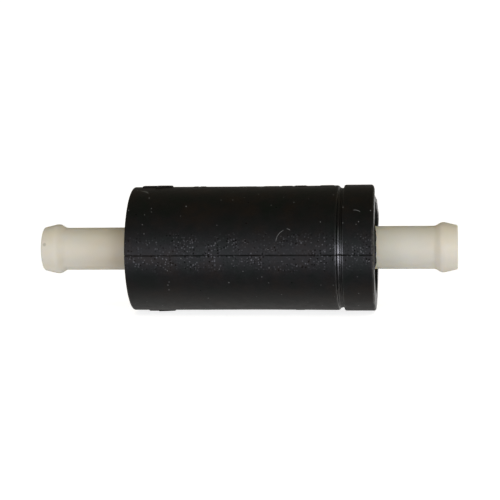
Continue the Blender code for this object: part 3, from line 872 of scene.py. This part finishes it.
def make_world():
    """A soft studio: bright level with the filter in front, with two upright strips, and dim overhead."""
    world = bpy.data.worlds.new("soft_studio")
    bpy.context.scene.world = world
    world.use_nodes = True
    nodes = world.node_tree.nodes
    links = world.node_tree.links
    nodes.clear()
    direction = nodes.new("ShaderNodeTexCoord").outputs["Generated"]
    split = nodes.new("ShaderNodeSeparateXYZ")
    links.new(direction, split.inputs[0])
    front = math_node(nodes, links, "MULTIPLY", split.outputs["Y"], -1.0)
    turn = math_node(nodes, links, "ARCTAN2", split.outputs["Z"], front)
    turn = math_node(nodes, links, "DIVIDE", turn, 2 * math.pi)
    turn = math_node(nodes, links, "ADD", turn, 0.5)
    stops = [((degrees + 180) / 360, [part / WORLD_PEAK for part in light]) for degrees, light in WORLD_BANDS]
    colour = ramp_node(nodes, links, turn, stops, True)
    soft = nodes.new("ShaderNodeBackground")
    links.new(spread_across(nodes, links, split.outputs["X"]), soft.inputs["Strength"])
    links.new(colour, soft.inputs["Color"])
    total = None
    for aim, inner_deg, outer_deg, radiance in WORLD_PANELS:
        light = panel(nodes, links, direction, aim, inner_deg, outer_deg, radiance)
        total = math_node(nodes, links, "ADD", total, light) if total else light
    panels = nodes.new("ShaderNodeBackground")
    links.new(total, panels.inputs["Strength"])
    both = nodes.new("ShaderNodeAddShader")
    links.new(soft.outputs[0], both.inputs[0])
    links.new(panels.outputs[0], both.inputs[1])
    white = nodes.new("ShaderNodeBackground")
    white.inputs["Color"].default_value = (1, 1, 1, 1)
    white.inputs["Strength"].default_value = BACKGROUND_GLOW
    mix = nodes.new("ShaderNodeMixShader")
    links.new(nodes.new("ShaderNodeLightPath").outputs["Is Camera Ray"], mix.inputs["Fac"])
    links.new(both.outputs[0], mix.inputs[1])
    links.new(white.outputs[0], mix.inputs[2])
    output = nodes.new("ShaderNodeOutputWorld")
    links.new(mix.outputs[0], output.inputs["Surface"])


def area_light(name, place, aim, size, power, colour):
    light = bpy.data.lights.new(name, "AREA")
    light.shape = "DISK"
    light.size = size
    light.energy = power
    light.color = colour
    obj = bpy.data.objects.new(name, light)
    obj.location = place
    obj.rotation_euler = (Vector(aim) - Vector(place)).to_track_quat("-Z", "Y").to_euler()
    obj.visible_glossy = False
    bpy.context.scene.collection.objects.link(obj)


def make_camera():
    back = Vector(
        (
            math.sin(CAMERA_AZIMUTH) * math.cos(CAMERA_ELEVATION),
            -math.cos(CAMERA_AZIMUTH) * math.cos(CAMERA_ELEVATION),
            math.sin(CAMERA_ELEVATION),
        )
    )
    turn = back.to_track_quat("Z", "Y").to_matrix()
    roll = Matrix.Rotation(-CAMERA_ROLL, 3, "Z")
    turn = turn @ roll
    data = bpy.data.cameras.new("camera")
    data.lens = CAMERA_LENS
    data.sensor_width = CAMERA_SENSOR
    data.clip_start = 0.01
    data.clip_end = 20
    camera = bpy.data.objects.new("camera", data)
    camera.matrix_world = Matrix.Translation(
        back * CAMERA_DISTANCE + turn.col[0] * AIM_RIGHT - turn.col[1] * AIM_DOWN
    ) @ turn.to_4x4()
    bpy.context.scene.collection.objects.link(camera)
    bpy.context.scene.camera = camera


# ---------------------------------------------------------------- everything
rubber = rubber_material()
nylon = nylon_material()

jacket = make_jacket()
give_material(jacket, rubber)
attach(jacket, "root")
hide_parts("rubber_jacket")

for cap_name, node, with_boss, flip in (
    ("inlet_nipple", "inlet_cap", False, True),
    ("outlet_nipple", "outlet_cap", True, False),
):
    cap = make_cap(cap_name, with_boss, flip)
    give_material(cap, nylon)
    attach(cap, "root")
    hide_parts(node)

# the pieces inside keep the frame's meshes, and get these
element_nylon = plain_material(
    "element_nylon", ((0.74, 0.70, 0.60), (0.79, 0.75, 0.66)), (0.38, 0.48), 0.5 * MM, 0.01 * MM
)
paper = plain_material(
    "pleated_filter_paper",
    ((0.50, 0.34, 0.15), (0.63, 0.46, 0.23)),
    (0.78, 0.92),
    0.15 * MM,
    0.03 * MM,
    stretch=(0.3, 1, 1),
)
adhesive = plain_material(
    "cured_adhesive", ((0.66, 0.58, 0.40), (0.74, 0.68, 0.52)), (0.40, 0.60), 0.6 * MM, 0.03 * MM
)
seal = plain_material(
    "grommet_rubber", ((0.012, 0.012, 0.013), (0.022, 0.021, 0.021)), (0.45, 0.58), 0.3 * MM, 0.01 * MM
)
steel = plain_material(
    "zinc_plated_steel",
    ((0.55, 0.56, 0.56), (0.66, 0.66, 0.64)),
    (0.26, 0.42),
    0.12 * MM,
    0.004 * MM,
    metallic=1.0,
    stretch=(0.1, 1, 1),
)
for inner, material in (
    ("capsule_tube", nylon),
    ("centre_tube", element_nylon),
    ("inlet_end_disc", element_nylon),
    ("outlet_end_disc", element_nylon),
    ("pleated_paper", paper),
    ("seam_clip", steel),
    ("inlet_bond_layer", adhesive),
    ("outlet_bond_layer", adhesive),
    ("outlet_grommet", seal),
):
    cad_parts[inner].material_slots[0].material = material

make_floor()
make_world()
area_light("fill", FILL_PLACE, (0, 0, 0), FILL_SIZE, FILL_POWER, FILL_COLOUR)
make_camera()
bpy.context.scene.view_settings.view_transform = "Standard"
